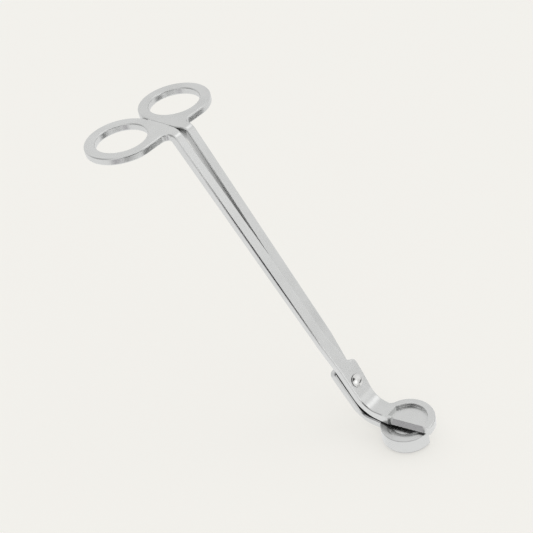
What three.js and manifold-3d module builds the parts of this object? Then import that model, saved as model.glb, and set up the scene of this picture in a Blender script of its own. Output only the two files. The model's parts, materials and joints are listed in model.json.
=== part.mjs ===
// Wick trimmer: scissors with a stepped side profile, for cutting a candle's wick down inside its jar.
// Two one-piece metal levers cross on a rivet. Each has a finger ring at the top and half of a round
// blade head at the bottom. The halves of the head carry a shallow tray that catches the cut wick.
//
// Frame, in millimetres: X forward (rings to head), Y to the side, Z up, at right angles to the ring
// plate and the head. The origin is on the flat underside of the lower tray, below the head's centre.
import * as THREE from 'three';
import { mergeVertices } from 'three/addons/utils/BufferGeometryUtils.js';
import Module from 'manifold-3d';

// ---- driving dimensions ----
const SLOPE = THREE.MathUtils.degToRad(58.5); // shafts below the horizontal
const GAP = 0.3; // between the two levers where they cross

const HEAD_RADIUS = 11; // upper half of the head
const CUP_RADIUS = HEAD_RADIUS - 0.5; // lower half of the head
const HEAD_SHIFT = 0.9; // each half's centre, ahead of or behind the origin
const HEAD_SHIFT_Y = 0.25;
const CUP_HEIGHT = 6.9;
const HEAD_GAP = 0.8; // between the halves, so that they clear each other as they swing
const HEAD_THICKNESS = 3.7; // upper half
const NECK_THICKNESS = 3.4; // lower lever, just behind its cup
const CUP_EDGE_ROUND = 1;
const TRAY_RADIUS = HEAD_RADIUS - 3;
const TRAY_REAR = TRAY_RADIUS - 0.05; // straight rear edge of the upper tray, behind the tray's centre
const TRAY_REAR_HALF = 2.95; // half the length of that straight edge
const TRAY_ROUND_END = THREE.MathUtils.degToRad(152); // where the round edge ends, turned from X
const TRAY_DEPTH = 1.45; // upper half
const CUP_TRAY_DEPTH = 0.6;
const CUP_TRAY_FLOOR_RADIUS = TRAY_RADIUS - 2.2;
const CUP_EDGE_Y = 0.8; // the lower cutting edge
const CUP_LAND = 1.4; // flat land along that edge
const BLADE_SKEW = THREE.MathUtils.degToRad(9.65); // upper cutting edge against X
const BLADE_FRONT_Y = 1.1; // upper cutting edge's overlap at the front of the head
const BEVEL_WIDTH = 1.3;

const RING_TOP = 124.1; // height of the ring plate's upper face
const RING_REACH = 20.2; // from each ring's centre to the shafts' bend, on the upper face
const RING_HOLE_RADIUS = 10.7;
const RING_WALL = 4.5;
const RING_THICKNESS = 3.2;
const RING_CLEARANCE = 0.15; // between each ring's outer circle and the middle plane
const RING_SPLIT = 0.06; // from the middle plane to the flat beside it
const RING_BEND = { top: 4.5, bottom: 1.5 }; // radii where the shafts bend into the rings
const WEB_FILLET = 2.8; // between the rings' straight front edges and the shafts
const SLIT_FILLET = 3; // at the rear end of the slit between the shafts

const BEND_X = -19.05; // where the plane between the levers turns level, into the head
const PIVOT_TO_BEND = 13.4; // along the shafts
const HEAD_BEND = { upperTop: 9, upperBottom: 13, lowerTop: 5, lowerBottom: 12 }; // radii
const SHAFT_THICKNESS = 4;
const SHAFT_OUTER_Y = 5.3;
const SHAFT_INNER_TOP_Y = 1.3; // inner edges beside the rings
const SHAFT_INNER_MID_Y = 0.25; // inner edges from halfway up
const SHAFT_RISE = 0.55; // shafts' top faces at the rings, out from the plane between the levers
const LAP_REACH = 24; // faces between the levers lie along that plane from here on, behind the pivot
const LAP_BEND = 30; // radius where they run into it
const CLIMB_END = 9.6; // upper shaft's top face is at its full height from here on, behind the pivot
const CLIMB_BEND = 60;
const PIVOT_THICKNESS = 3.35; // upper lever at the crossing
const SHOULDER = 8.2; // start of the wide part around the pivot, behind it
const SHOULDER_ROUND = 2.2;
const SHOULDER_INNER_ROUND = 0.8;
const SHAFT_CROSS = 23; // start of each inner edge's slant across the middle, behind the pivot
const SHAFT_CROSS_Y = 2; // inner edge past the middle, where it meets the wide part
const TAPER = 21.3; // start of the taper out to the wide part, behind the pivot
const TAPER_ROUND = 20;
const SHAFT_SWEEP_ROUND = 60; // halfway up each shaft's inner edge
const HEEL_X = -6.2; // where the upper lever's neck ends and its blade begins
const HEEL_LENGTH = 1.2;
// Half widths at the pivot and at the neck, on the blade's side and on the other, and the fillet
// between the neck and the head.
const UPPER_ARM = { pivotBlade: 4.8, pivotOther: 4.6, neckBlade: 3, neckOther: 4.5, fillet: 3 };
const LOWER_ARM = { pivotBlade: 5.2, pivotOther: 4.2, neckBlade: 4.8, neckOther: 3.4, fillet: 0.8 };

const RIVET_HEAD_RADIUS = 2.8;
const RIVET_HEAD_HEIGHT = 0.9;
const RIVET_SHANK_RADIUS = 1.6;
const RIVET_TAIL_RADIUS = 2.3;
const RIVET_TAIL_HEIGHT = 0.7;
const RUNNING_GAP = 0.08;
const WASHER_RADIUS = 3.4;
const WASHER_THICKNESS = 0.6;

// How far the drawn outlines reach past the solids that they cut.
const RING_DEPTH = 20;
const SHAFT_DEPTH = 12;
const HEAD_DEPTH = 30;
const PROFILE_REACH = 30; // side profile, past the rings and past the head
const WEB_REACH = 9; // ring outline, down over the bend
const SLIT_REACH = 5; // where the slit between the shafts reaches its full width
const RING_LAP = 2; // shaft outline, past the bend at the rings
const HEAD_LAP = 3; // shaft outline, past the bend at the head
const NECK_LAP = 1; // neck outline, back past the bend

const ARC_SEGMENTS = 12;
const EDGE_SEGMENTS = 6;
const CIRCLE_SEGMENTS = 64;
const FULL_TURN = 2 * Math.PI;

// ---- solids ----
const wasm = await Module();
wasm.setup();

function solidFrom(geometry) {
  const bare = geometry.clone();
  bare.deleteAttribute('normal');
  bare.deleteAttribute('uv');
  const merged = mergeVertices(bare, 1e-4);
  const triVerts = [];
  for (let first = 0; first < merged.index.count; first += 3) {
    const [a, b, c] = merged.index.array.slice(first, first + 3);
    if (a !== b && b !== c && c !== a) triVerts.push(a, b, c);
  }
  return new wasm.Manifold(new wasm.Mesh({
    numProp: 3,
    vertProperties: merged.attributes.position.array,
    triVerts: new Uint32Array(triVerts),
  }));
}

function geometryFrom(solid) {
  const mesh = solid.getMesh();
  const geometry = new THREE.BufferGeometry();
  geometry.setAttribute('position', new THREE.BufferAttribute(mesh.vertProperties, 3));
  geometry.setIndex(new THREE.BufferAttribute(mesh.triVerts, 1));
  geometry.computeVertexNormals();
  return geometry;
}

// Extrudes a plan outline straight up between two heights.
function prism(shape, low, high) {
  const options = { depth: high - low, bevelEnabled: false, curveSegments: ARC_SEGMENTS };
  return new THREE.ExtrudeGeometry(shape, options).translate(0, 0, low);
}

// A closed polygon whose corners [x, y, radius] are rounded off by arcs.
function roundedOutline(corners) {
  const shape = new THREE.Shape();
  const count = corners.length;
  corners.forEach(([x, y, radius], index) => {
    const corner = new THREE.Vector2(x, y);
    const before = new THREE.Vector2(...corners[(index + count - 1) % count]).sub(corner).normalize();
    const after = new THREE.Vector2(...corners[(index + 1) % count]).sub(corner).normalize();
    const half = Math.acos(THREE.MathUtils.clamp(before.dot(after), -1, 1)) / 2;
    const reach = radius / Math.tan(half);
    const start = before.clone().multiplyScalar(reach).add(corner);
    if (index === 0) shape.moveTo(start.x, start.y);
    else shape.lineTo(start.x, start.y);
    if (radius > 0) {
      const toCentre = before.clone().add(after).normalize().multiplyScalar(radius / Math.sin(half));
      const centre = toCentre.add(corner);
      const end = after.clone().multiplyScalar(reach).add(corner);
      const from = Math.atan2(start.y - centre.y, start.x - centre.x);
      const to = Math.atan2(end.y - centre.y, end.x - centre.x);
      const clockwise = before.cross(after) > 0;
      shape.absarc(centre.x, centre.y, radius, from, to, clockwise);
    }
  });
  shape.closePath();
  return shape;
}

// ---- side profile, in the XZ plane ----
const along = new THREE.Vector2(Math.cos(SLOPE), -Math.sin(SLOPE)); // down the shafts
const out = new THREE.Vector2(Math.sin(SLOPE), Math.cos(SLOPE)); // away from the lower lever
const midHead = CUP_HEIGHT + HEAD_GAP / 2;
const bend = new THREE.Vector2(BEND_X, midHead);
const pivot = bend.clone().addScaledVector(along, -PIVOT_TO_BEND);

// The point u down the shafts from the pivot and h out from the plane between the levers.
function onShaft(u, h) {
  return pivot.clone().addScaledVector(along, u).addScaledVector(out, h);
}

// Where the line h out from that plane reaches height z.
function shaftAtHeight(h, z) {
  const start = onShaft(0, h);
  return start.addScaledVector(along, (start.y - z) / Math.sin(SLOPE));
}

const upperTop = GAP / 2 + PIVOT_THICKNESS;
const shaftBottom = SHAFT_RISE - SHAFT_THICKNESS;
const ringBottom = RING_TOP - RING_THICKNESS;
const ringOuter = RING_HOLE_RADIUS + RING_WALL;
const ringX = shaftAtHeight(SHAFT_RISE, RING_TOP).x - RING_REACH; // the rings' centres
const ringY = ringOuter + RING_CLEARANCE;
const ringFront = ringX + ringOuter; // straight front edge of the ring plate
const headBottom = CUP_HEIGHT + HEAD_GAP;
const headTop = headBottom + HEAD_THICKNESS;
const profileBack = ringX - PROFILE_REACH;
const leverHalfWidth = ringY + 2 * ringOuter;

const point = (vector, radius = 0) => [vector.x, vector.y, radius];

// A bent plate, as wide as the whole tool, with this profile.
function bentPlate(corners) {
  const geometry = prism(roundedOutline(corners), -leverHalfWidth, leverHalfWidth);
  return solidFrom(geometry.rotateX(Math.PI / 2));
}

const upperPlate = bentPlate([
  [profileBack, ringBottom, 0],
  point(shaftAtHeight(shaftBottom, ringBottom), RING_BEND.bottom),
  point(onShaft(-LAP_REACH, GAP / 2), LAP_BEND),
  point(shaftAtHeight(GAP / 2, headBottom), HEAD_BEND.upperBottom),
  [PROFILE_REACH, headBottom, 0],
  [PROFILE_REACH, headTop, 0],
  point(shaftAtHeight(upperTop, headTop), HEAD_BEND.upperTop),
  point(onShaft(-CLIMB_END, upperTop), CLIMB_BEND),
  point(shaftAtHeight(SHAFT_RISE, RING_TOP), RING_BEND.top),
  [profileBack, RING_TOP, 0],
]);

const lowerPlate = bentPlate([
  [profileBack, ringBottom, 0],
  point(shaftAtHeight(shaftBottom, ringBottom), RING_BEND.bottom),
  point(shaftAtHeight(shaftBottom, CUP_HEIGHT - NECK_THICKNESS), HEAD_BEND.lowerBottom),
  [PROFILE_REACH, CUP_HEIGHT - NECK_THICKNESS, 0],
  [PROFILE_REACH, CUP_HEIGHT, 0],
  point(shaftAtHeight(-GAP / 2, CUP_HEIGHT), HEAD_BEND.lowerTop),
  point(onShaft(-LAP_REACH, -GAP / 2), LAP_BEND),
  point(shaftAtHeight(SHAFT_RISE, RING_TOP), RING_BEND.top),
  [profileBack, RING_TOP, 0],
]);

// ---- plan outlines; side is +1 or -1, the side of the middle plane that the ring or blade is on ----

// Finger ring, with its web up to the straight front edge and the flat beside the other ring.
function ringPlan(side) {
  const outer = new THREE.CylinderGeometry(ringOuter, ringOuter, RING_DEPTH, CIRCLE_SEGMENTS);
  outer.rotateX(Math.PI / 2).translate(ringX, side * ringY, RING_TOP);
  const web = prism(roundedOutline([
    [ringX, side * RING_SPLIT, 0],
    [ringX, side * ringY, 0],
    [ringFront, side * ringY, 0],
    [ringFront, side * SHAFT_OUTER_Y, WEB_FILLET],
    [ringFront + WEB_REACH, side * SHAFT_OUTER_Y, 0],
    [ringFront + WEB_REACH, side * SHAFT_INNER_TOP_Y, 0],
    [ringFront + SLIT_REACH, side * SHAFT_INNER_TOP_Y, SLIT_FILLET],
    [ringFront, side * RING_SPLIT, SLIT_FILLET],
  ]), RING_TOP - RING_DEPTH / 2, RING_TOP + RING_DEPTH / 2);
  const hole = new THREE.CylinderGeometry(
    RING_HOLE_RADIUS, RING_HOLE_RADIUS, 2 * RING_DEPTH, CIRCLE_SEGMENTS);
  hole.rotateX(Math.PI / 2).translate(ringX, side * ringY, RING_TOP);
  const otherHalf = new THREE.BoxGeometry(4 * ringOuter, 2 * ringOuter, 2 * RING_DEPTH);
  otherHalf.translate(ringX, side * (RING_SPLIT - ringOuter), RING_TOP);
  return solidFrom(outer).add(solidFrom(web)).subtract(solidFrom(hole)).subtract(solidFrom(otherHalf));
}

// Moves a shape drawn around the pivot (u down the shafts, y, h outward) into place.
function placeAtPivot(geometry) {
  return geometry.rotateY(SLOPE).translate(pivot.x, 0, pivot.y);
}

// Shaft, with its wide part around the pivot, drawn flat; side is the ring's side.
function shaftPlan(side, arm) {
  const ringEnd = shaftAtHeight(SHAFT_RISE, RING_TOP).sub(pivot).dot(along);
  const headEnd = PIVOT_TO_BEND + HEAD_LAP;
  const outline = roundedOutline([
    [ringEnd - RING_LAP, side * SHAFT_OUTER_Y, 0],
    [-TAPER, side * SHAFT_OUTER_Y, TAPER_ROUND],
    [-SHOULDER, side * arm.pivotOther, TAPER_ROUND],
    [headEnd, side * arm.neckOther, 0],
    [headEnd, -side * arm.neckBlade, 0],
    [0, -side * arm.pivotBlade, TAPER_ROUND],
    [-SHOULDER, -side * SHAFT_OUTER_Y, SHOULDER_ROUND],
    [-SHOULDER, -side * SHAFT_CROSS_Y, SHOULDER_INNER_ROUND],
    [-SHAFT_CROSS, side * SHAFT_INNER_MID_Y, TAPER_ROUND],
    [ringEnd / 2, side * SHAFT_INNER_MID_Y, SHAFT_SWEEP_ROUND],
    [ringEnd, side * SHAFT_INNER_TOP_Y, 0],
    [ringEnd - RING_LAP, side * SHAFT_INNER_TOP_Y, 0],
  ]);
  return solidFrom(placeAtPivot(prism(outline, -SHAFT_DEPTH, SHAFT_DEPTH)));
}

// Neck behind the head, filleted into the head's round edge; side is the blade's side.
function neckPlan(side, arm, radius, centre) {
  const reach = radius + arm.fillet;
  const filletY = arm.neckBlade + arm.fillet;
  const offsetY = filletY - side * centre.y;
  const filletX = centre.x - Math.sqrt(reach ** 2 - offsetY ** 2);
  const meetX = centre.x + (filletX - centre.x) * radius / reach;
  const meetY = side * centre.y + offsetY * radius / reach;
  const backX = BEND_X - NECK_LAP;
  const start = Math.atan2(meetY - filletY, meetX - filletX);
  const shape = new THREE.Shape();
  shape.moveTo(backX, -arm.neckOther);
  shape.lineTo(centre.x, -arm.neckOther);
  shape.lineTo(centre.x, meetY);
  shape.lineTo(meetX, meetY);
  shape.absarc(filletX, filletY, arm.fillet, start, -Math.PI / 2, true);
  shape.lineTo(backX, arm.neckBlade);
  shape.closePath();
  const geometry = prism(shape, -HEAD_DEPTH, HEAD_DEPTH);
  if (side < 0) geometry.rotateX(Math.PI);
  return solidFrom(geometry);
}

// Everything beyond a blade's edge, which runs through the points given.
function beyondEdge(side, edge, low, high) {
  const start = edge[0];
  const end = edge[edge.length - 1];
  const outline = roundedOutline([
    ...edge.map(([x, y]) => [x, y, 0]),
    [end[0], -side * 3 * HEAD_RADIUS, 0],
    [start[0], -side * 3 * HEAD_RADIUS, 0],
  ]);
  return solidFrom(prism(outline, low, high));
}

function disc(centre, radius, low, high) {
  const geometry = new THREE.CylinderGeometry(radius, radius, high - low, CIRCLE_SEGMENTS);
  return solidFrom(geometry.rotateX(Math.PI / 2).translate(centre.x, centre.y, (low + high) / 2));
}

// ---- upper lever: ring on the -Y side, blade on the +Y side ----
const upperCentre = new THREE.Vector2(HEAD_SHIFT, -HEAD_SHIFT_Y);
const upperFront = upperCentre.x + HEAD_RADIUS;
const trayFloor = headTop - TRAY_DEPTH;

// The upper cutting edge's y at x.
const edgeY = (x) => -BLADE_FRONT_Y - Math.tan(BLADE_SKEW) * (upperFront - x);

// The upper tray's outline: round, with a straight rear edge, and open across the cutting edge.
function upperTrayOutline() {
  const rearX = upperCentre.x - TRAY_REAR;
  const bladeRear = HEEL_X + HEEL_LENGTH;
  const shape = new THREE.Shape();
  shape.moveTo(bladeRear, -2 * HEAD_RADIUS);
  shape.lineTo(upperCentre.x + TRAY_RADIUS, -2 * HEAD_RADIUS);
  shape.lineTo(upperCentre.x + TRAY_RADIUS, upperCentre.y);
  shape.absarc(upperCentre.x, upperCentre.y, TRAY_RADIUS, 0, TRAY_ROUND_END, false);
  shape.lineTo(rearX, upperCentre.y + TRAY_REAR_HALF);
  shape.lineTo(rearX, upperCentre.y - TRAY_REAR_HALF);
  shape.lineTo(bladeRear, edgeY(bladeRear) + BEVEL_WIDTH);
  shape.closePath();
  return shape;
}

// Wedge that cuts the bevel: its face rises from the cutting edge to the tray's floor.
function bevelWedge() {
  const section = new THREE.Shape();
  const rise = trayFloor - headBottom;
  section.moveTo(-2 * HEAD_RADIUS, 0);
  section.lineTo(0, 0);
  section.lineTo(2 * BEVEL_WIDTH, 2 * rise);
  section.lineTo(-2 * HEAD_RADIUS, 2 * rise);
  section.closePath();
  const geometry = prism(section, -2 * HEAD_RADIUS, 2 * HEAD_RADIUS);
  geometry.rotateX(Math.PI / 2).rotateZ(Math.PI / 2).rotateZ(BLADE_SKEW);
  return solidFrom(geometry.translate(upperCentre.x, edgeY(upperCentre.x), headBottom));
}

function upperLever() {
  const head = disc(upperCentre, HEAD_RADIUS, -HEAD_DEPTH, HEAD_DEPTH)
    .add(neckPlan(1, UPPER_ARM, HEAD_RADIUS, upperCentre));
  const bladeStart = HEEL_X + HEEL_LENGTH;
  const edge = [
    [-2 * HEAD_RADIUS, -UPPER_ARM.neckOther],
    [HEEL_X, -UPPER_ARM.neckOther],
    [bladeStart, edgeY(bladeStart)],
    [2 * upperFront, edgeY(2 * upperFront)],
  ];
  const blank = head.subtract(beyondEdge(1, edge, -HEAD_DEPTH, HEAD_DEPTH))
    .add(shaftPlan(-1, UPPER_ARM))
    .add(ringPlan(-1))
    .intersect(upperPlate);
  const tray = solidFrom(prism(upperTrayOutline(), trayFloor, headTop + TRAY_DEPTH));
  const trayColumn = solidFrom(prism(upperTrayOutline(), 0, headTop + TRAY_DEPTH));
  return blank.subtract(tray).subtract(bevelWedge().intersect(trayColumn)).subtract(pivotHole());
}

// ---- lower lever: ring on the +Y side, cup on the -Y side ----
const lowerCentre = new THREE.Vector2(-HEAD_SHIFT, HEAD_SHIFT_Y);

// A round block with its lower edge rounded off.
function cupBlank() {
  const side = CUP_RADIUS - CUP_EDGE_ROUND;
  const profile = new THREE.Path();
  profile.moveTo(0, 0);
  profile.lineTo(side, 0);
  profile.absarc(side, CUP_EDGE_ROUND, CUP_EDGE_ROUND, -Math.PI / 2, 0, false);
  profile.lineTo(CUP_RADIUS, CUP_HEIGHT);
  profile.lineTo(0, CUP_HEIGHT);
  const geometry = new THREE.LatheGeometry(profile.getPoints(EDGE_SEGMENTS), CIRCLE_SEGMENTS);
  return solidFrom(geometry.rotateX(Math.PI / 2).translate(lowerCentre.x, lowerCentre.y, 0));
}

// The dished tray, which stops short of the cutting edge and leaves a land there.
function cupTray() {
  const spread = TRAY_RADIUS - CUP_TRAY_FLOOR_RADIUS;
  const height = 2 * CUP_TRAY_DEPTH;
  const dish = new THREE.CylinderGeometry(
    TRAY_RADIUS + spread, CUP_TRAY_FLOOR_RADIUS, height, CIRCLE_SEGMENTS);
  dish.rotateX(Math.PI / 2).translate(lowerCentre.x, lowerCentre.y, CUP_HEIGHT);
  const landY = CUP_EDGE_Y - CUP_LAND;
  const land = new THREE.BoxGeometry(4 * CUP_RADIUS, 4 * CUP_RADIUS, 4 * CUP_RADIUS);
  land.translate(0, landY + 2 * CUP_RADIUS, 0);
  return solidFrom(dish).subtract(solidFrom(land));
}

function lowerLever() {
  const plate = neckPlan(-1, LOWER_ARM, CUP_RADIUS, lowerCentre)
    .add(shaftPlan(1, LOWER_ARM))
    .add(ringPlan(1))
    .intersect(lowerPlate);
  const edge = [[lowerCentre.x - CUP_RADIUS, CUP_EDGE_Y], [2 * CUP_RADIUS, CUP_EDGE_Y]];
  return plate.add(cupBlank())
    .subtract(beyondEdge(-1, edge, -HEAD_DEPTH, CUP_HEIGHT + 1))
    .subtract(cupTray())
    .subtract(pivotHole());
}

// ---- pivot ----
function pivotHole() {
  const radius = RIVET_SHANK_RADIUS + RUNNING_GAP;
  const geometry = new THREE.CylinderGeometry(radius, radius, 2 * SHAFT_DEPTH, CIRCLE_SEGMENTS / 2);
  return solidFrom(placeAtPivot(geometry.rotateX(Math.PI / 2)));
}

const washerTop = shaftBottom - RUNNING_GAP;
const tailTop = washerTop - WASHER_THICKNESS - RUNNING_GAP;

function rivetGeometry() {
  const headBase = upperTop + RUNNING_GAP;
  const headEdge = headBase + RIVET_HEAD_HEIGHT / 2;
  const profile = new THREE.Path();
  profile.moveTo(0, tailTop - RIVET_TAIL_HEIGHT);
  profile.lineTo(RIVET_TAIL_RADIUS - RIVET_TAIL_HEIGHT / 2, tailTop - RIVET_TAIL_HEIGHT);
  profile.lineTo(RIVET_TAIL_RADIUS, tailTop - RIVET_TAIL_HEIGHT / 2);
  profile.lineTo(RIVET_TAIL_RADIUS, tailTop);
  profile.lineTo(RIVET_SHANK_RADIUS, tailTop);
  profile.lineTo(RIVET_SHANK_RADIUS, headBase);
  profile.lineTo(RIVET_HEAD_RADIUS, headBase);
  profile.lineTo(RIVET_HEAD_RADIUS, headEdge);
  profile.quadraticCurveTo(RIVET_HEAD_RADIUS, headBase + RIVET_HEAD_HEIGHT,
    RIVET_HEAD_RADIUS - RIVET_HEAD_HEIGHT, headBase + RIVET_HEAD_HEIGHT);
  profile.lineTo(0, headBase + RIVET_HEAD_HEIGHT);
  return new THREE.LatheGeometry(profile.getPoints(EDGE_SEGMENTS), CIRCLE_SEGMENTS / 2).rotateX(Math.PI / 2);
}

function washerGeometry() {
  const bore = RIVET_SHANK_RADIUS + RUNNING_GAP;
  const ring = new THREE.Shape().absarc(0, 0, WASHER_RADIUS, 0, FULL_TURN, false);
  ring.holes.push(new THREE.Path().absarc(0, 0, bore, 0, FULL_TURN, true));
  return prism(ring, washerTop - WASHER_THICKNESS, washerTop);
}

// ---- scene ----
function steel(color, roughness) {
  return new THREE.MeshStandardMaterial({ color, roughness, metalness: 1 });
}

function piece(name, geometry, material) {
  const mesh = new THREE.Mesh(geometry, material);
  mesh.name = name;
  return mesh;
}

const satinSteel = steel(0xc9cacb, 0.34);
const polishedSteel = steel(0xd6d6d4, 0.18);

const trimmer = new THREE.Group();
trimmer.add(piece('upper_lever', geometryFrom(upperLever()), satinSteel));
trimmer.add(piece('lower_lever', geometryFrom(lowerLever()), satinSteel));

// The rivet and its washer are drawn around the pivot's axis and turned to lie along it.
const pivotGroup = new THREE.Group();
pivotGroup.position.set(pivot.x, 0, pivot.y);
pivotGroup.rotation.y = SLOPE;
pivotGroup.add(piece('pivot_rivet', rivetGeometry(), polishedSteel));
pivotGroup.add(piece('rivet_washer', washerGeometry(), polishedSteel));
trimmer.add(pivotGroup);

export default trimmer;
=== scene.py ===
"""Looks of the wick trimmer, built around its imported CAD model.

The two levers are meshed here from distance formulas, which give every edge its rounding, every bend
its curve and every vertex its true normal. Lengths in the formulas are millimetres.
"""

import json
import math

import bpy
import numpy as np
from mathutils import Matrix, Vector


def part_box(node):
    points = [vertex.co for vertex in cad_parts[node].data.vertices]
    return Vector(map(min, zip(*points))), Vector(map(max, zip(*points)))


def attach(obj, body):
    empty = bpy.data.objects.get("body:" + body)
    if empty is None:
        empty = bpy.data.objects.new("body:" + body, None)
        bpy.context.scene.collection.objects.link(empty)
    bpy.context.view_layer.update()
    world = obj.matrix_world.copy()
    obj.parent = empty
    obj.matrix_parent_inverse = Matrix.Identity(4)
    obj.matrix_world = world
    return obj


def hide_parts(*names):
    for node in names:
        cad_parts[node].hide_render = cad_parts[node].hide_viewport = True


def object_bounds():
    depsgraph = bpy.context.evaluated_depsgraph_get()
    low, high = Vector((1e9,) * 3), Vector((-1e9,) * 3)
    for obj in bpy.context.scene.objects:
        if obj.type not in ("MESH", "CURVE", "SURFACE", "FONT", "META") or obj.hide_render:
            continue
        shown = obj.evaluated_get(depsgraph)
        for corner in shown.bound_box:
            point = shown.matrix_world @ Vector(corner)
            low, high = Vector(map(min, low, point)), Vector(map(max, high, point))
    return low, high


MM = 0.001

# ---------------------------------------------------------------- where things are, from the frame
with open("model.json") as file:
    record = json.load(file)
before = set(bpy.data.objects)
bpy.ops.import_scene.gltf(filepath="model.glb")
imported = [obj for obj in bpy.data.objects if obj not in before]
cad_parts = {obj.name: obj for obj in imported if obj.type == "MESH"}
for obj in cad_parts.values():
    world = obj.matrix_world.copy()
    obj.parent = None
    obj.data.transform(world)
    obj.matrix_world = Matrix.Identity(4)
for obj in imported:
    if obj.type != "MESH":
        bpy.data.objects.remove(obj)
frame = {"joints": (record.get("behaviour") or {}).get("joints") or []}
cad_low, cad_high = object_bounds()
hinge = frame["joints"][0]
PIVOT = np.array(hinge["pos_m"]) / MM
AXIS = Vector(hinge["axis"]).normalized()
SIN, COS = AXIS.x, AXIS.z  # of the shafts' slope below the horizontal


def box_mm(node):
    low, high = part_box(node)
    return np.array(low) / MM, np.array(high) / MM


UPPER_LOW, UPPER_HIGH = box_mm("upper_lever")
LOWER_LOW, LOWER_HIGH = box_mm("lower_lever")

# ---------------------------------------------------------------- section sizes, in millimetres
GAP = 0.3
HEAD_RADIUS = 11.0
CUP_RADIUS = 10.5
HEAD_SHIFT_Y = 0.25
CUP_HEIGHT = 6.9
HEAD_GAP = 0.8
HEAD_THICKNESS = 3.7
NECK_THICKNESS = 3.4
CUP_EDGE_ROUND = 1.0
TRAY_RADIUS = 8.0
TRAY_REAR = 7.95
TRAY_REAR_HALF = 2.95
TRAY_ROUND_END = math.radians(152)
TRAY_DEPTH = 1.45
CUP_TRAY_DEPTH = 0.6
CUP_TRAY_FLOOR_RADIUS = 5.8
CUP_EDGE_Y = 0.8
CUP_LAND = 1.4
BLADE_SKEW = math.radians(9.65)
BLADE_FRONT_Y = 1.1
BEVEL_WIDTH = 1.3
RING_HOLE_RADIUS = 10.7
RING_WALL = 4.5
RING_THICKNESS = 3.2
RING_SPLIT = 0.012  # narrower than the CAD model's, so that the seam between the webs hardly shows
RING_BEND_TOP, RING_BEND_BOTTOM = 4.5, 1.5
WEB_FILLET = 2.8
WEB_REACH = 9.0
SLIT_FILLET = 3.0
SLIT_REACH = 5.0
HEAD_BEND_UPPER_TOP, HEAD_BEND_UPPER_BOTTOM = 9.0, 13.0
HEAD_BEND_LOWER_TOP, HEAD_BEND_LOWER_BOTTOM = 5.0, 12.0
BEND_X = -19.05
PIVOT_TO_BEND = 13.4
SHAFT_THICKNESS = 4.0
SHAFT_OUTER_Y = 5.3
SHAFT_INNER_TOP_Y = 1.3
SHAFT_INNER_MID_Y = 0.25
SHAFT_RISE = 0.55
LAP_REACH = 24.0
LAP_BEND = 30.0
CLIMB_END = 9.6
CLIMB_BEND = 60.0
PIVOT_THICKNESS = 3.35
SHOULDER = 8.2
SHOULDER_ROUND = 2.2
SHOULDER_INNER_ROUND = 0.8
SHAFT_CROSS = 23.0
SHAFT_CROSS_Y = 2.0
TAPER = 21.3
TAPER_ROUND = 20.0
SHAFT_SWEEP_ROUND = 60.0
RING_LAP, HEAD_LAP, NECK_LAP = 2.0, 3.0, 1.0
HEEL_X = -6.2
HEEL_LENGTH = 1.2
KEEN_LEAD = 4.0  # the upper lever's lower edges turn keen this far behind the heel
SHANK_RADIUS = 1.6
RIVET_HEAD_RADIUS = 2.8
RIVET_HEAD_HEIGHT = 0.9
RIVET_TAIL_RADIUS = 2.3
RIVET_TAIL_HEIGHT = 0.7
WASHER_RADIUS = 3.4
WASHER_THICKNESS = 0.6
RUNNING_GAP = 0.08
UPPER_ARM = {"pivot_blade": 4.8, "pivot_other": 4.6, "neck_blade": 3.0, "neck_other": 4.5, "fillet": 3.0}
LOWER_ARM = {"pivot_blade": 5.2, "pivot_other": 4.2, "neck_blade": 4.8, "neck_other": 3.4, "fillet": 0.8}

ROUND = 0.65  # edges of rings and shafts
UNDER_ROUND = 0.8 * ROUND  # their lower edges
FINE = 0.12  # edges of the upper tray
TRAY_FLOOR_ROUND = 0.2
DISH_FLOOR_ROUND = 1.0
DISH_END_ROUND = 0.3
DISH_EDGE_ROUND = 0.15
CUP_RIM_ROUND = 0.3
BEVEL_ROUND = 0.04
BORE_ROUND = 0.15
KEEN = 0.1  # cutting edges

RING_TOP = UPPER_HIGH[2]
RING_OUTER = RING_HOLE_RADIUS + RING_WALL
RING_X = UPPER_LOW[0] + RING_OUTER
RING_Y = LOWER_HIGH[1] - RING_OUTER
RING_FRONT = RING_X + RING_OUTER
RING_BOTTOM = RING_TOP - RING_THICKNESS
UPPER_CENTRE = (UPPER_HIGH[0] - HEAD_RADIUS, -HEAD_SHIFT_Y)
LOWER_CENTRE = (LOWER_HIGH[0] - CUP_RADIUS, HEAD_SHIFT_Y)
HEAD_BOTTOM = CUP_HEIGHT + HEAD_GAP
HEAD_TOP = HEAD_BOTTOM + HEAD_THICKNESS
TRAY_FLOOR = HEAD_TOP - TRAY_DEPTH
UPPER_TOP = GAP / 2 + PIVOT_THICKNESS
SHAFT_BOTTOM = SHAFT_RISE - SHAFT_THICKNESS
FAR = 60.0  # past every solid
ABOVE_CUP = CUP_HEIGHT + 1  # where the cuts into the cup end, clear of its rim


# ---------------------------------------------------------------- distance formulas
def rounded_max(a, b, radius=0.0, cosine=0.0):
    """Intersection. The faces' normals meet at this cosine, and the edge is rounded to the radius."""
    a = a + radius
    b = b + radius
    near_corner = (a > cosine * b) & (b > cosine * a)
    square = np.maximum(a * a + b * b - 2 * cosine * a * b, 0) / (1 - cosine * cosine)
    return np.where(near_corner, np.sqrt(square), np.maximum(a, b)) - radius


def rounded_min(a, b, radius=0.0, cosine=0.0):
    """Union, with its inside corner filled to the radius."""
    return -rounded_max(-a, -b, radius, cosine)


def cut(solid, tool, radius=0.0, cosine=0.0):
    return rounded_max(solid, -tool, radius, cosine)


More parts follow.
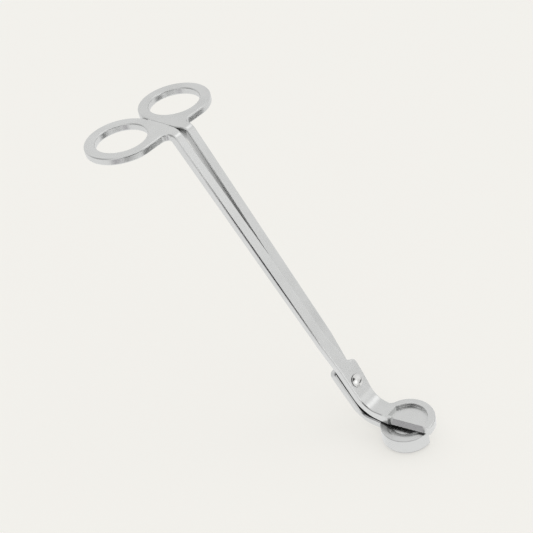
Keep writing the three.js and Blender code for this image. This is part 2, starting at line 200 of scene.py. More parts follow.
def rounded_outline(corners, steps=20):
    """Points round a closed outline whose corners (x, y, radius) are arcs."""
    points = []
    corners = [(np.array(c[:2], float), c[2]) for c in corners]
    for index, (corner, radius) in enumerate(corners):
        if radius == 0:
            points.append(corner)
            continue
        before = corners[index - 1][0] - corner
        after = corners[(index + 1) % len(corners)][0] - corner
        before /= np.linalg.norm(before)
        after /= np.linalg.norm(after)
        half = math.acos(np.clip(before @ after, -1, 1)) / 2
        middle = before + after
        centre = corner + middle / np.linalg.norm(middle) * radius / math.sin(half)
        start = corner + before * radius / math.tan(half) - centre
        end = corner + after * radius / math.tan(half) - centre
        first = math.atan2(start[1], start[0])
        turn = (math.atan2(end[1], end[0]) - first + math.pi) % (2 * math.pi) - math.pi
        for angle in first + turn * np.linspace(0, 1, steps):
            points.append(centre + radius * np.array([math.cos(angle), math.sin(angle)]))
    return np.array(points)


def outline_distance(x, y, outline, margin=1.5):
    """Signed distance to a closed outline. Further than the margin from its box, the box's distance."""
    low, high = outline.min(0), outline.max(0)
    over_x = np.maximum(np.maximum(low[0] - x, x - high[0]), 0)
    over_y = np.maximum(np.maximum(low[1] - y, y - high[1]), 0)
    distance = np.hypot(over_x, over_y)
    near = distance < margin
    px, py = x[near], y[near]
    best = np.full(px.shape, np.inf)
    inside = np.zeros(px.shape, bool)
    for (ax, ay), (bx, by) in zip(outline, np.roll(outline, -1, axis=0)):
        ex, ey = bx - ax, by - ay
        length = ex * ex + ey * ey
        if length < 1e-12:
            continue
        wx, wy = px - ax, py - ay
        share = np.clip((wx * ex + wy * ey) / length, 0, 1)
        best = np.minimum(best, (wx - ex * share) ** 2 + (wy - ey * share) ** 2)
        if ey != 0:
            inside ^= ((ay > py) != (by > py)) & (wx < ex * wy / ey)
    distance[near] = np.where(inside, -1, 1) * np.sqrt(best)
    return distance


def disc_distance(x, y, centre, radius):
    return np.hypot(x - centre[0], y - centre[1]) - radius


def shaft_frame(x, z):
    """Distance down the shafts from the pivot, and distance out from the plane between the levers."""
    dx, dz = x - PIVOT[0], z - PIVOT[2]
    return dx * COS - dz * SIN, dx * SIN + dz * COS


def bent_face(z, h, u, levels, end, ring_round, head_round, lap_round):
    """Face of a lever through four levels. Down the shaft it slants until its end before the pivot."""
    at_rings, on_shaft, at_lap, at_head = levels
    ring_u = (PIVOT[2] + on_shaft * COS - at_rings) / SIN
    climb = math.atan2(at_lap - on_shaft, -end - ring_u)
    sloped = (h - on_shaft) * math.cos(climb) - (u - ring_u) * math.sin(climb)
    meet = rounded_max if climb > 0 else rounded_min
    shaft = meet(sloped, h - at_lap, lap_round, math.cos(climb))
    lower_part = rounded_min(shaft, z - at_head, head_round, COS)
    return rounded_max(z - at_rings, lower_part, ring_round, math.cos(math.acos(COS) - climb))


WEB_LAP = 2.0  # web's reach past the middle plane, before the flat beside the other ring is cut


def ring_plan(x, y, side):
    outer = disc_distance(x, y, (RING_X, side * RING_Y), RING_OUTER)
    web = outline_distance(x, side * y, WEB)
    hole = disc_distance(x, y, (RING_X, side * RING_Y), RING_HOLE_RADIUS)
    return cut(np.minimum(outer, web), hole)


WEB = rounded_outline([
    (RING_X, -WEB_LAP, 0),
    (RING_X, RING_Y, 0),
    (RING_FRONT, RING_Y, 0),
    (RING_FRONT, SHAFT_OUTER_Y, WEB_FILLET),
    (RING_FRONT + WEB_REACH, SHAFT_OUTER_Y, 0),
    (RING_FRONT + WEB_REACH, SHAFT_INNER_TOP_Y, 0),
    (RING_FRONT + SLIT_REACH, SHAFT_INNER_TOP_Y, SLIT_FILLET),
    (RING_FRONT, RING_SPLIT, SLIT_FILLET),
    (RING_FRONT - SLIT_FILLET, RING_SPLIT, 0),
    (RING_FRONT - SLIT_FILLET, -WEB_LAP, 0),
])


def past_ring_flat(x, y, side):
    """Everything past the flat where a ring's web lies beside the other ring's."""
    return np.maximum(side * y - RING_SPLIT, x - RING_FRONT - SLIT_REACH)


def shaft_outline(arm):
    """Drawn flat, u down the shafts and y towards the ring's side."""
    ring_end = (PIVOT[2] + SHAFT_RISE * COS - RING_TOP) / SIN
    head_end = PIVOT_TO_BEND + HEAD_LAP
    return rounded_outline([
        (ring_end - RING_LAP, SHAFT_OUTER_Y, 0),
        (-TAPER, SHAFT_OUTER_Y, TAPER_ROUND),
        (-SHOULDER, arm["pivot_other"], TAPER_ROUND),
        (head_end, arm["neck_other"], 0),
        (head_end, -arm["neck_blade"], 0),
        (0, -arm["pivot_blade"], TAPER_ROUND),
        (-SHOULDER, -SHAFT_OUTER_Y, SHOULDER_ROUND),
        (-SHOULDER, -SHAFT_CROSS_Y, SHOULDER_INNER_ROUND),
        (-SHAFT_CROSS, SHAFT_INNER_MID_Y, TAPER_ROUND),
        (ring_end / 2, SHAFT_INNER_MID_Y, SHAFT_SWEEP_ROUND),
        (ring_end, SHAFT_INNER_TOP_Y, 0),
        (ring_end - RING_LAP, SHAFT_INNER_TOP_Y, 0),
    ])


def neck_outline(arm, radius, centre, side):
    """Neck behind the head, filleted into its round edge; y is towards the blade's side."""
    centre_y = side * centre[1]
    reach = radius + arm["fillet"]
    fillet_y = arm["neck_blade"] + arm["fillet"]
    fillet_x = centre[0] - math.sqrt(reach**2 - (fillet_y - centre_y) ** 2)
    meet_x = centre[0] + (fillet_x - centre[0]) * radius / reach
    meet_y = centre_y + (fillet_y - centre_y) * radius / reach
    first = math.atan2(meet_y - fillet_y, meet_x - fillet_x)
    if first > 0:
        first -= 2 * math.pi
    angles = np.linspace(first, -math.pi / 2, 24)
    arc = [(fillet_x + arm["fillet"] * math.cos(a), fillet_y + arm["fillet"] * math.sin(a)) for a in angles]
    back = BEND_X - NECK_LAP
    front = centre[0]
    ends = [(back, -arm["neck_other"]), (front, -arm["neck_other"]), (front, meet_y)]
    return np.array([*ends, *arc, (back, arm["neck_blade"])])


UPPER_SHAFT = shaft_outline(UPPER_ARM)
LOWER_SHAFT = shaft_outline(LOWER_ARM)
UPPER_NECK = neck_outline(UPPER_ARM, HEAD_RADIUS, UPPER_CENTRE, 1)
LOWER_NECK = neck_outline(LOWER_ARM, CUP_RADIUS, LOWER_CENTRE, -1)


def edge_y(x):
    """The upper cutting edge's y at x."""
    return -BLADE_FRONT_Y - math.tan(BLADE_SKEW) * (UPPER_CENTRE[0] + HEAD_RADIUS - x)


def upper_tray_outline():
    x, y = UPPER_CENTRE
    blade_rear = HEEL_X + HEEL_LENGTH
    angles = np.linspace(0, TRAY_ROUND_END, 60)
    arc = [(x + TRAY_RADIUS * math.cos(a), y + TRAY_RADIUS * math.sin(a)) for a in angles]
    rear_x = x - TRAY_REAR
    return np.array([
        (blade_rear, -2 * HEAD_RADIUS),
        (x + TRAY_RADIUS, -2 * HEAD_RADIUS),
        *arc,
        (rear_x, y + TRAY_REAR_HALF),
        (rear_x, y - TRAY_REAR_HALF),
        (blade_rear, edge_y(blade_rear) + BEVEL_WIDTH),
    ])


UPPER_TRAY = upper_tray_outline()
BEYOND_UPPER_EDGE = np.array([
    (-2 * HEAD_RADIUS, -UPPER_ARM["neck_other"]),
    (HEEL_X, -UPPER_ARM["neck_other"]),
    (HEEL_X + HEEL_LENGTH, edge_y(HEEL_X + HEEL_LENGTH)),
    (FAR, edge_y(FAR)),
    (FAR, -FAR),
    (-2 * HEAD_RADIUS, -FAR),
])


def upper_lever(p):
    x, y, z = p.T
    u, h = shaft_frame(x, z)
    head = disc_distance(x, y, UPPER_CENTRE, HEAD_RADIUS)
    head = np.minimum(head, outline_distance(x, y, UPPER_NECK))
    plan = np.minimum(head, ring_plan(x, y, -1))
    plan = np.minimum(plan, outline_distance(u, -y, UPPER_SHAFT))
    top_levels = (RING_TOP, SHAFT_RISE, UPPER_TOP, HEAD_TOP)
    top = bent_face(z, h, u, top_levels, CLIMB_END, RING_BEND_TOP, HEAD_BEND_UPPER_TOP, CLIMB_BEND)
    under_levels = (RING_BOTTOM, SHAFT_BOTTOM, GAP / 2, HEAD_BOTTOM)
    under_bends = (RING_BEND_BOTTOM, HEAD_BEND_UPPER_BOTTOM, LAP_BEND)
    under = bent_face(z, h, u, under_levels, LAP_REACH, *under_bends)
    solid = rounded_max(plan, top, ROUND)
    under_round = np.interp(x, [BEND_X, HEEL_X - KEEN_LEAD], [UNDER_ROUND, KEEN])
    solid = rounded_max(solid, -under, under_round)
    solid = cut(solid, past_ring_flat(x, y, -1))
    column = outline_distance(x, y, UPPER_TRAY)
    into_tray = 0.3  # the edge is cut only this far into the tray's column, which the bevel cuts
    beyond = np.maximum(outline_distance(x, y, BEYOND_UPPER_EDGE), -into_tray - column)
    solid = cut(solid, beyond, KEEN)
    tray = rounded_max(column, TRAY_FLOOR - z, TRAY_FLOOR_ROUND)
    solid = cut(solid, tray, FINE)
    rise = TRAY_FLOOR - HEAD_BOTTOM
    bevel = math.atan2(rise, BEVEL_WIDTH)
    inward = (y - edge_y(x)) * math.cos(BLADE_SKEW)
    below_bevel = (z - HEAD_BOTTOM) * math.cos(bevel) - inward * math.sin(bevel)
    solid = cut(solid, rounded_max(column, -below_bevel), BEVEL_ROUND)
    return cut(solid, np.hypot(u, y) - SHANK_RADIUS - RUNNING_GAP, BORE_ROUND)


def lower_lever(p):
    x, y, z = p.T
    u, h = shaft_frame(x, z)
    plan = np.minimum(outline_distance(x, -y, LOWER_NECK), ring_plan(x, y, 1))
    plan = np.minimum(plan, outline_distance(u, y, LOWER_SHAFT))
    top_levels = (RING_TOP, SHAFT_RISE, -GAP / 2, CUP_HEIGHT)
    top = bent_face(z, h, u, top_levels, LAP_REACH, RING_BEND_TOP, HEAD_BEND_LOWER_TOP, LAP_BEND)
    neck = z - CUP_HEIGHT + NECK_THICKNESS
    neck_under = rounded_min(h - SHAFT_BOTTOM, neck, HEAD_BEND_LOWER_BOTTOM, COS)
    under = rounded_max(z - RING_BOTTOM, neck_under, RING_BEND_BOTTOM, COS)
    solid = rounded_max(plan, top, ROUND)
    solid = rounded_max(solid, -under, UNDER_ROUND)
    solid = cut(solid, past_ring_flat(x, y, 1))
    r = np.hypot(x - LOWER_CENTRE[0], y - LOWER_CENTRE[1])
    cup = rounded_max(r - CUP_RADIUS, -z, CUP_EDGE_ROUND)
    cup = rounded_max(cup, z - CUP_HEIGHT, CUP_RIM_ROUND)
    solid = np.minimum(solid, cup)
    beyond = np.maximum(LOWER_CENTRE[0] - CUP_RADIUS - x, CUP_EDGE_Y - y)
    beyond = np.maximum(beyond, z - ABOVE_CUP)
    solid = cut(solid, beyond, KEEN)
    spread = TRAY_RADIUS - CUP_TRAY_FLOOR_RADIUS
    slant = math.hypot(spread, CUP_TRAY_DEPTH)
    wall = ((r - TRAY_RADIUS) * CUP_TRAY_DEPTH - (z - CUP_HEIGHT) * spread) / slant
    dish = rounded_max(wall, CUP_HEIGHT - CUP_TRAY_DEPTH - z, DISH_FLOOR_ROUND, spread / slant)
    dish = rounded_max(dish, y - CUP_EDGE_Y + CUP_LAND, DISH_END_ROUND)
    dish = np.maximum(dish, z - ABOVE_CUP)
    solid = cut(solid, dish, DISH_EDGE_ROUND)
    return cut(solid, np.hypot(u, y) - SHANK_RADIUS - RUNNING_GAP, BORE_ROUND)


# ---------------------------------------------------------------- meshing
CELL = 0.245  # edge of a meshing cell
BLOCK = 8  # cells along a block
MARGIN = 1.0  # of the grid round a piece's box
STEEP = 0.2  # least slope along a cell's edge for its crossing to be moved
SLIDE = 0.1  # most that a crossing is moved, in cells
HOLD = 0.05  # pull of a cell's point towards the middle of its crossings
EVEN = 0.93  # length of the mean normal from which a cell counts as smooth
SHARP = math.cos(math.radians(32))  # between a face's normal and the solid's, at a sharp edge


def gradient(field, p, step=0.01):
    parts = []
    for axis in np.eye(3):
        parts.append(field(p + step * axis) - field(p - step * axis))
    g = np.stack(parts, axis=1)
    return g / np.maximum(np.linalg.norm(g, axis=1, keepdims=True), 1e-12)


def occupied_corners(field, low, high):
    """Grid corners of every block of cells that the surface may pass through, as whole numbers."""
    size = BLOCK * CELL
    counts = np.ceil((high - low) / size).astype(int) + 1
    blocks = np.stack(np.meshgrid(*[np.arange(n) for n in counts], indexing="ij"), -1).reshape(-1, 3)
    middle = low + (blocks + 0.5) * size
    blocks = blocks[np.abs(field(middle)) < size * math.sqrt(3) / 2 + CELL]
    steps = np.arange(BLOCK + 1)
    local = np.stack(np.meshgrid(steps, steps, steps, indexing="ij"), -1).reshape(-1, 3)
    corners = (blocks[:, None] * BLOCK + local).reshape(-1, 3)
    span = (counts + 1) * BLOCK + 1
    code = (corners[:, 0] * span[1] + corners[:, 1]) * span[2] + corners[:, 2]
    code = np.unique(code)
    strides = np.array([span[1] * span[2], span[2], 1])
    index = np.stack([code // strides[0], code // strides[1] % span[1], code % span[2]], -1)
    return code, index, strides


def mesh_of(field, low, high):
    """Dual contouring: the surface's points, normals and four-sided faces."""
    code, index, strides = occupied_corners(field, low, high)
    value = field(low + index * CELL)
    crossings, normals, cell_codes, flips = [], [], [], []
    for axis in range(3):
        at = np.searchsorted(code, code + strides[axis])
        at = np.minimum(at, len(code) - 1)
        real = code[at] == code + strides[axis]
        start = np.flatnonzero(real & ((value < 0) != (value[at] < 0)))
        end = at[start]
        share = value[start] / (value[start] - value[end])
        p = low + index[start] * CELL
        p[:, axis] += share * CELL
        miss = field(p)
        normal = gradient(field, p)
        slope = normal[:, axis]
        slide = np.where(np.abs(slope) > STEEP, miss / np.where(slope == 0, 1, slope), 0)
        p[:, axis] -= np.clip(slide, -SLIDE * CELL, SLIDE * CELL)
        first, second = strides[(axis + 1) % 3], strides[(axis + 2) % 3]
        base = code[start]
        cell_codes.append(np.stack([base, base - first, base - first - second, base - second], -1))
        crossings.append(p)
        normals.append(normal)
        flips.append(value[start] < 0)
    crossings, normals = np.concatenate(crossings), np.concatenate(normals)
    cells, faces = np.unique(np.concatenate(cell_codes), return_inverse=True)
    faces = faces.reshape(-1, 4)
    flip = np.concatenate(flips)
    faces[~flip] = faces[~flip][:, ::-1]

    owner = faces.ravel()
    p, n = np.repeat(crossings, 4, axis=0), np.repeat(normals, 4, axis=0)
    count = np.bincount(owner, minlength=len(cells))
    mass = np.stack([np.bincount(owner, p[:, k]) for k in range(3)], -1) / count[:, None]
    offset = np.einsum("ij,ij->i", n, p - mass[owner])
    right = np.stack([np.bincount(owner, n[:, k] * offset) for k in range(3)], -1)
    left = np.empty((len(cells), 3, 3))
    for row in range(3):
        for column in range(3):
            left[:, row, column] = np.bincount(owner, n[:, row] * n[:, column])
    left += HOLD * np.eye(3)
    place = [cells // strides[0], cells % strides[0] // strides[1], cells % strides[1]]
    corner = low + np.stack(place, -1) * CELL
    points = mass + np.linalg.solve(left, right[:, :, None])[:, :, 0]
    points = np.clip(points, corner, corner + CELL)
    spread = np.stack([np.bincount(owner, n[:, k]) for k in range(3)], -1) / count[:, None]
    smooth = np.linalg.norm(spread, axis=1) > EVEN
    points[smooth] -= field(points[smooth])[:, None] * gradient(field, points[smooth])
    return points, faces


def smooth_mesh(name, field, low, high):
    """A mesh object of the solid, in metres, shaded with the solid's own normals."""
    points, faces = mesh_of(field, low - MARGIN, high + MARGIN)
    mesh = bpy.data.meshes.new(name)
    mesh.vertices.add(len(points))
    mesh.vertices.foreach_set("co", (points * MM).ravel())
    mesh.loops.add(faces.size)
    mesh.loops.foreach_set("vertex_index", faces.ravel())
    mesh.polygons.add(len(faces))
    mesh.polygons.foreach_set("loop_start", np.arange(0, faces.size, 4))
    mesh.update(calc_edges=True)
    mesh.polygons.foreach_set("use_smooth", np.ones(len(faces), bool))
    corner = points[faces]
    across = np.cross(corner[:, 2] - corner[:, 0], corner[:, 3] - corner[:, 1])
    across /= np.maximum(np.linalg.norm(across, axis=1, keepdims=True), 1e-12)
    normal = gradient(field, points)[faces]
    sharp = np.einsum("ijk,ik->ij", normal, across) < SHARP
    normal = np.where(sharp[:, :, None], across[:, None], normal)
    mesh.normals_split_custom_set(normal.reshape(-1, 3))
    piece = bpy.data.objects.new(name, mesh)
    bpy.context.scene.collection.objects.link(piece)
    return piece


def turned(name, profile, segments=160):
    """A body turned about the hinge's axis, from (radius, height) points of a closed section."""
    profile = np.array(profile)
    section = profile[profile[:, 0] > 1e-6]
    angles = np.linspace(0, 2 * math.pi, segments, endpoint=False)
    ring = np.stack([np.cos(angles), np.sin(angles)], -1)
    points, faces = [], []
    for radius, height in section:
        points.extend((radius * c, radius * s, height) for c, s in ring)
    count = len(section)
    closed = len(section) == len(profile)
    for row in range(count if closed else count - 1):
        below, above = row * segments, (row + 1) % count * segments
        for k in range(segments):
            after = (k + 1) % segments
            faces.append((below + k, below + after, above + after, above + k))
    if not closed:
        for row, height, order in ((0, profile[0][1], -1), (count - 1, profile[-1][1], 1)):
            points.append((0, 0, height))
            middle = len(points) - 1
            for k in range(segments):
                pair = (row * segments + k, row * segments + (k + 1) % segments)
                faces.append((*pair[::order], middle))
    mesh = bpy.data.meshes.new(name)
    mesh.from_pydata([Vector(p) * MM for p in points], [], faces)
    turn = Vector((0, 0, 1)).rotation_difference(AXIS).to_matrix().to_4x4()
    mesh.transform(Matrix.Translation(Vector(PIVOT) * MM) @ turn)
    mesh.polygons.foreach_set("use_smooth", np.ones(len(mesh.polygons), bool))
    piece = bpy.data.objects.new(name, mesh)
    bpy.context.scene.collection.objects.link(piece)
    return piece


def arc(centre, radius, start, end, steps=10):
    """Points of an arc in a section, angles in degrees."""
    angles = np.radians(np.linspace(start, end, steps))
    return [(centre[0] + radius * math.cos(a), centre[1] + radius * math.sin(a)) for a in angles]


upper = smooth_mesh("upper_lever_steel", upper_lever, UPPER_LOW, UPPER_HIGH)
lower = smooth_mesh("lower_lever_steel", lower_lever, LOWER_LOW, LOWER_HIGH)

WASHER_TOP = SHAFT_BOTTOM - RUNNING_GAP
WASHER_BASE = WASHER_TOP - WASHER_THICKNESS
WASHER_ROUND = 0.12
WASHER_BEVEL = 0.06
WASHER_BORE = SHANK_RADIUS + RUNNING_GAP
TAIL_TOP = WASHER_BASE - RUNNING_GAP
TAIL_ROUND = 0.35
TAIL_BEVEL = 0.05
HEAD_BASE = UPPER_TOP + RUNNING_GAP
HEAD_BEVEL = 0.08
RIM_HEIGHT = 0.2
RIM_ROUND = 0.16
DOME_RISE = 0.8 * RIVET_HEAD_HEIGHT  # of the sphere, at the head's full radius
DOME_REACH = 0.94 * RIVET_HEAD_RADIUS  # where the sphere meets the rim
dome_radius = (RIVET_HEAD_RADIUS**2 + DOME_RISE**2) / (2 * DOME_RISE)
dome_angle = math.degrees(math.asin(DOME_REACH / dome_radius))
dome_centre = HEAD_BASE + RIVET_HEAD_HEIGHT - dome_radius
rivet = turned("rivet_steel_pin", [
    (0, TAIL_TOP - RIVET_TAIL_HEIGHT),
    *arc((RIVET_TAIL_RADIUS - TAIL_ROUND, TAIL_TOP - RIVET_TAIL_HEIGHT + TAIL_ROUND), TAIL_ROUND, -90, 0),
    (RIVET_TAIL_RADIUS, TAIL_TOP - TAIL_BEVEL),
    (RIVET_TAIL_RADIUS - TAIL_BEVEL, TAIL_TOP),
    (SHANK_RADIUS, TAIL_TOP),
    (SHANK_RADIUS, HEAD_BASE),
    (RIVET_HEAD_RADIUS - HEAD_BEVEL, HEAD_BASE),
    (RIVET_HEAD_RADIUS, HEAD_BASE + HEAD_BEVEL),
    *arc((RIVET_HEAD_RADIUS - RIM_ROUND, HEAD_BASE + RIM_HEIGHT), RIM_ROUND, 0, 60),
    *arc((0, dome_centre), dome_radius, 90 - dome_angle, 90.0, 24)[:-1],
    (0, HEAD_BASE + RIVET_HEAD_HEIGHT),
])
washer = turned("washer_steel_ring", [
    (WASHER_BORE, WASHER_TOP - WASHER_BEVEL),
    (WASHER_BORE, WASHER_BASE + WASHER_BEVEL),
    (WASHER_BORE + WASHER_BEVEL, WASHER_BASE),
    *arc((WASHER_RADIUS - WASHER_ROUND, WASHER_BASE + WASHER_ROUND), WASHER_ROUND, -90, 0, 6),
    *arc((WASHER_RADIUS - WASHER_ROUND, WASHER_TOP - WASHER_ROUND), WASHER_ROUND, 0, 90, 6),
    (WASHER_BORE + WASHER_BEVEL, WASHER_TOP),
])


# ---------------------------------------------------------------- materials
def node(tree, kind, **inputs):
    made = tree.nodes.new(kind)
    for name, value in inputs.items():
        made.inputs[name.replace("_", " ")].default_value = value
    return made


def mapped(tree, rotation=(0, 0, 0), scale=(1, 1, 1)):
    coordinates = tree.nodes.new("ShaderNodeTexCoord")
    turn = node(tree, "ShaderNodeMapping")
    turn.inputs["Rotation"].default_value = rotation
    turn.inputs["Scale"].default_value = scale
    tree.links.new(coordinates.outputs["Object"], turn.inputs["Vector"])
    return turn.outputs["Vector"]


def ranged(tree, value, low, high, from_low=0.3, from_high=0.7):
    """The value, mapped to low...high; most of a noise lies between 0.3 and 0.7."""
    made = node(tree, "ShaderNodeMapRange")
    made.inputs["From Min"].default_value = from_low
    made.inputs["From Max"].default_value = from_high
    made.inputs["To Min"].default_value = low
    made.inputs["To Max"].default_value = high
    tree.links.new(value, made.inputs["Value"])
    return made.outputs["Result"]


BRUSHING = (60, 1400, 1400)  # noise per metre along and across the shafts
# Painted shade: in crevices the steel's colour is darkened towards this near black, by ambient occlusion
# within this reach.
CREVICE_SHADE_REACH = 0.004  # metres
CREVICE_SHADE_COLOR = (0.05, 0.05, 0.05, 1)
BUMP_HEIGHT = 0.00002  # metres
CLOUD_SHADES = (0.95, 1.04)  # of the tint, in the darkest clouds and in the lightest
BRUSHED_ROUGHNESS = (-0.03, 0.04)  # added by the brushing
WEAR_HEIGHT = 0.4  # of the wear's bumps beside the brushing's


def steel(name, tint, rough, grain, crevices):
    """Stainless steel: fine lengthwise brushing, soft clouds, fine wear, and painted shade in deep
    crevices.

    The crevices' two numbers are how open to the air a spot is where the painted shade is darkest and where
    it ends.
    """
    material = bpy.data.materials.new(name)
    material.use_nodes = True
    tree = material.node_tree
    shader = tree.nodes["Principled BSDF"]
    shader.inputs["Metallic"].default_value = 1.0
    brushed = mapped(tree, (0, -math.asin(SIN), 0), BRUSHING)
    brushing = node(tree, "ShaderNodeTexNoise", Scale=1.0, Detail=4.0, Roughness=0.55)
    tree.links.new(brushed, brushing.inputs["Vector"])
    clouds = node(tree, "ShaderNodeTexNoise", Scale=90.0, Detail=3.0, Roughness=0.5)
    tree.links.new(mapped(tree), clouds.inputs["Vector"])
    wear = node(tree, "ShaderNodeTexNoise", Scale=420.0, Detail=5.0, Roughness=0.6)
    tree.links.new(mapped(tree), wear.inputs["Vector"])

    shade = tree.nodes.new("ShaderNodeMix")
    shade.data_type = "RGBA"
    shade.inputs["A"].default_value = (*[c * CLOUD_SHADES[0] for c in tint], 1)
    shade.inputs["B"].default_value = (*[min(c * CLOUD_SHADES[1], 1) for c in tint], 1)
    tree.links.new(ranged(tree, clouds.outputs["Fac"], 0, 1), shade.inputs["Factor"])
    # Painted shade: where ambient occlusion finds a crevice, the base colour is mixed towards a near black.
    open_air = node(tree, "ShaderNodeAmbientOcclusion", Distance=CREVICE_SHADE_REACH)
    open_air.samples = 8
    crevice_shade_mix = tree.nodes.new("ShaderNodeMix")
    crevice_shade_mix.data_type = "RGBA"
    crevice_shade_mix.inputs["A"].default_value = CREVICE_SHADE_COLOR
    tree.links.new(shade.outputs["Result"], crevice_shade_mix.inputs["B"])
    tree.links.new(ranged(tree, open_air.outputs["AO"], 0, 1, *crevices), crevice_shade_mix.inputs["Factor"])
    tree.links.new(crevice_shade_mix.outputs["Result"], shader.inputs["Base Color"])

    roughness = node(tree, "ShaderNodeMath")
    roughness.operation = "ADD"
    tree.links.new(ranged(tree, clouds.outputs["Fac"], *rough), roughness.inputs[0])
    tree.links.new(ranged(tree, brushing.outputs["Fac"], *BRUSHED_ROUGHNESS), roughness.inputs[1])
    tree.links.new(roughness.outputs["Value"], shader.inputs["Roughness"])

    height = node(tree, "ShaderNodeMath")
    height.operation = "ADD"
    tree.links.new(ranged(tree, brushing.outputs["Fac"], 0, 1), height.inputs[0])
    tree.links.new(ranged(tree, wear.outputs["Fac"], 0, WEAR_HEIGHT), height.inputs[1])
    bump = node(tree, "ShaderNodeBump", Strength=grain, Distance=BUMP_HEIGHT)
    tree.links.new(height.outputs["Value"], bump.inputs["Height"])
    tree.links.new(bump.outputs["Normal"], shader.inputs["Normal"])
    return material


satin = steel("satin_steel", (0.72, 0.725, 0.72), (0.25, 0.32), 0.06, (0.0, 0.1))
# The lower lever's copy of the satin steel is a little darker as painted shade, and takes stronger painted
# shade in its crevices.
shaded_satin = steel("satin_steel_painted_shade", (0.69, 0.695, 0.69), (0.25, 0.32), 0.06, (0.2, 0.6))
# The rivet and washer take the strongest painted shade in crevices, a dark ring round the rivet's head.
polished = steel("polished_steel", (0.78, 0.78, 0.77), (0.14, 0.2), 0.04, (0.45, 0.85))

for piece, body, cad_node, material, slot in (
    (upper, "upper", "upper_lever", satin, "lever_steel"),
    (lower, "lower", "lower_lever", shaded_satin, "lever_steel"),
    (rivet, "lower", "pivot_rivet", polished, "rivet_steel"),
    (washer, "lower", "rivet_washer", polished, "rivet_steel"),
):
    piece.data.materials.append(material)
    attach(piece, body)
    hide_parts(cad_node)

# ---------------------------------------------------------------- floor, light and camera
centre = (cad_low + cad_high) / 2
size = (cad_high - cad_low).length


def flat_panel(name, middle, toward, up, width, height, color):
    """A plain card of the studio, centred and facing as given, that only reflections see."""
    mesh = bpy.data.meshes.new(name)
    w, h = width / 2, height / 2
    mesh.from_pydata([(-w, -h, 0), (w, -h, 0), (w, h, 0), (-w, h, 0)], [], [(0, 1, 2, 3)])
    card = bpy.data.objects.new(name, mesh)
    bpy.context.scene.collection.objects.link(card)
    card.rotation_mode = "QUATERNION"
    facing = (toward - middle).normalized()
    tall = (up - facing * up.dot(facing)).normalized()
    card.rotation_quaternion = Matrix((tall.cross(facing), tall, facing)).transposed().to_quaternion()
    card.location = middle
    material = bpy.data.materials.new(name)
    material.use_nodes = True
    tree = material.node_tree
    tree.nodes.clear()
    glow = node(tree, "ShaderNodeEmission", Strength=1.0)
    glow.inputs["Color"].default_value = (*color, 1)
    out = tree.nodes.new("ShaderNodeOutputMaterial")
    tree.links.new(glow.outputs["Emission"], out.inputs["Surface"])
    mesh.materials.append(material)
    card.visible_camera = False
    card.visible_diffuse = False
    card.visible_shadow = False


FLOOR_DROP = 0.0002  # metres, so that the cup's base doesn't lie in the floor


def flat_floor():
    mesh = bpy.data.meshes.new("floor")
    reach = 30 * size
    corners = [(-reach, -reach, 0), (reach, -reach, 0), (reach, reach, 0), (-reach, reach, 0)]
    mesh.from_pydata(corners, [], [(0, 1, 2, 3)])
    floor = bpy.data.objects.new("floor", mesh)
    bpy.context.scene.collection.objects.link(floor)
    floor.location.z = cad_low.z - FLOOR_DROP
    material = bpy.data.materials.new("pale_floor")
    material.use_nodes = True
    shader = material.node_tree.nodes["Principled BSDF"]
    shader.inputs["Base Color"].default_value = (0.42, 0.415, 0.4, 1)
    shader.inputs["Roughness"].default_value = 1.0
    shader.inputs["Specular IOR Level"].default_value = 0.0
    shader.inputs["Emission Color"].default_value = (1.0, 0.983, 0.935, 1)
    shader.inputs["Emission Strength"].default_value = 0.548
    mesh.materials.append(material)
    floor.visible_glossy = False


flat_floor()

# Dark cards that the steel reflects: one low in front for the rings' front walls, one beside the shafts
# for their upper left edge, and a grey one beside the head for the blade's bevel.
UP = Vector((0, 0, 1))
SIDEWAYS = Vector((0, 1, 0))
DOWN_SHAFTS = Vector((COS, 0, -SIN))
LOW_FLAG = Vector((0.0875, 0.115, cad_low.z + 0.0003))
SHAFT_MIDDLE = Vector((-0.06, 0, 0.074))
FROM_SHAFT_EDGE = Vector((0.554, -0.823, 0.127))  # the camera, reflected in the middle of that edge
ACROSS_EDGE_FLAG = Vector((0.713, 0.548, 0.437))  # square to the shafts and to the card's facing
EDGE_FLAG = SHAFT_MIDDLE + FROM_SHAFT_EDGE * 0.09 + ACROSS_EDGE_FLAG * 0.045
HEAD_MIDDLE = Vector((0, 0, HEAD_TOP)) * MM
HEAD_FLAG = HEAD_MIDDLE + Vector((-0.05, -0.13, 0.05))
flat_panel("low_front_flag", LOW_FLAG, LOW_FLAG + UP, SIDEWAYS, 0.125, 0.14, (0.03, 0.03, 0.03))
flat_panel("shaft_edge_flag", EDGE_FLAG, SHAFT_MIDDLE, DOWN_SHAFTS, 0.17, 0.085, (0.01, 0.01, 0.01))
flat_panel("head_side_flag", HEAD_FLAG, HEAD_MIDDLE, UP, 0.1, 0.05, (0.33, 0.31, 0.34))

world = bpy.data.worlds.new("studio")
bpy.context.scene.world = world
world.use_nodes = True
sky = world.node_tree
background = sky.nodes["Background"]
direction = sky.nodes.new("ShaderNodeTexCoord")


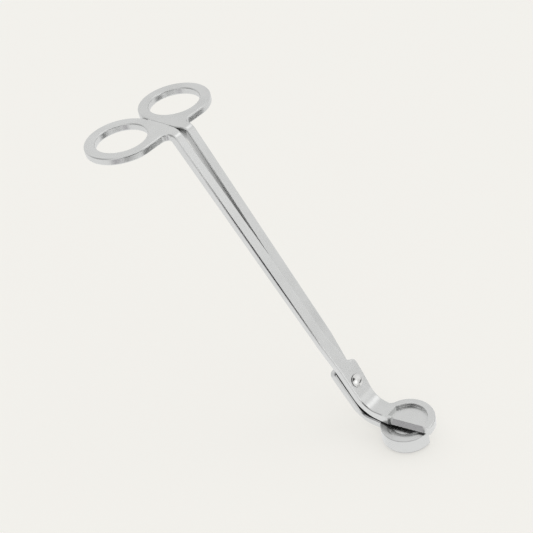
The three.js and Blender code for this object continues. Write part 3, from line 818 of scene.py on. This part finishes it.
def soft_light(toward, outside, inside, inner, outer):
    """A patch of the wall: inside holds within the inner angle of a direction, outside past the outer."""
    angle = sky.nodes.new("ShaderNodeVectorMath")
    angle.operation = "DOT_PRODUCT"
    sky.links.new(direction.outputs["Generated"], angle.inputs[0])
    angle.inputs[1].default_value = Vector(toward).normalized()
    shade = node(sky, "ShaderNodeMapRange")
    shade.interpolation_type = "SMOOTHSTEP"
    shade.inputs["From Min"].default_value = math.cos(math.radians(outer))
    shade.inputs["From Max"].default_value = math.cos(math.radians(inner))
    shade.inputs["To Min"].default_value = outside
    shade.inputs["To Max"].default_value = inside
    sky.links.new(angle.outputs["Value"], shade.inputs["Value"])
    return shade.outputs["Result"]


def multiplied(first, second):
    made = sky.nodes.new("ShaderNodeMath")
    made.operation = "MULTIPLY"
    sky.links.new(first, made.inputs[0])
    sky.links.new(second, made.inputs[1])
    return made.outputs["Value"]


walls = soft_light((0, 0, -1), 0.84, 1.0, 40, 80)
for toward, brightness, inner, outer in (
    ((-0.45, -0.75, 0.45), 0.5, 18, 42),  # dusk to the left of the camera
    ((0.75, 0.5, 0.1), 1.16, 22, 40),  # lighter wall that the shafts' tops reflect
    ((0.164, 0.539, 0.825), 1.7, 4, 15),  # softbox in the bends at the rings and at the head
    ((0.85, 0.5, 0.0), 0.84, 14, 21),  # lower part of that wall, for the shafts' lower ends
    ((0.966, 0.055, 0.302), 1.5, 8, 18),  # softbox in the lower left of the rivet's dome
):
    walls = multiplied(walls, soft_light(toward, 1.0, brightness, inner, outer))
background.inputs["Color"].default_value = (1.0, 1.0, 0.995, 1)
sky.links.new(walls, background.inputs["Strength"])

bpy.context.scene.view_settings.view_transform = "Standard"

camera_data = bpy.data.cameras.new("camera")
camera = bpy.data.objects.new("camera", camera_data)
bpy.context.scene.collection.objects.link(camera)
bpy.context.scene.camera = camera
camera_data.lens = 81.7
camera_data.sensor_width = 36
camera_data.clip_start = 0.01
camera_data.clip_end = 100
camera.location = centre + Vector((0.29234, -0.26327, 0.28939))
# The axes of the view: to its right, down it, and away from the camera.
right = Vector((0.74681, 0.63802, -0.18765))
down = Vector((0.27147, -0.55004, -0.78979))
forward = Vector((-0.60711, 0.53888, -0.58397))
camera.rotation_mode = "QUATERNION"
camera.rotation_quaternion = Matrix((right, -down, -forward)).transposed().to_quaternion()
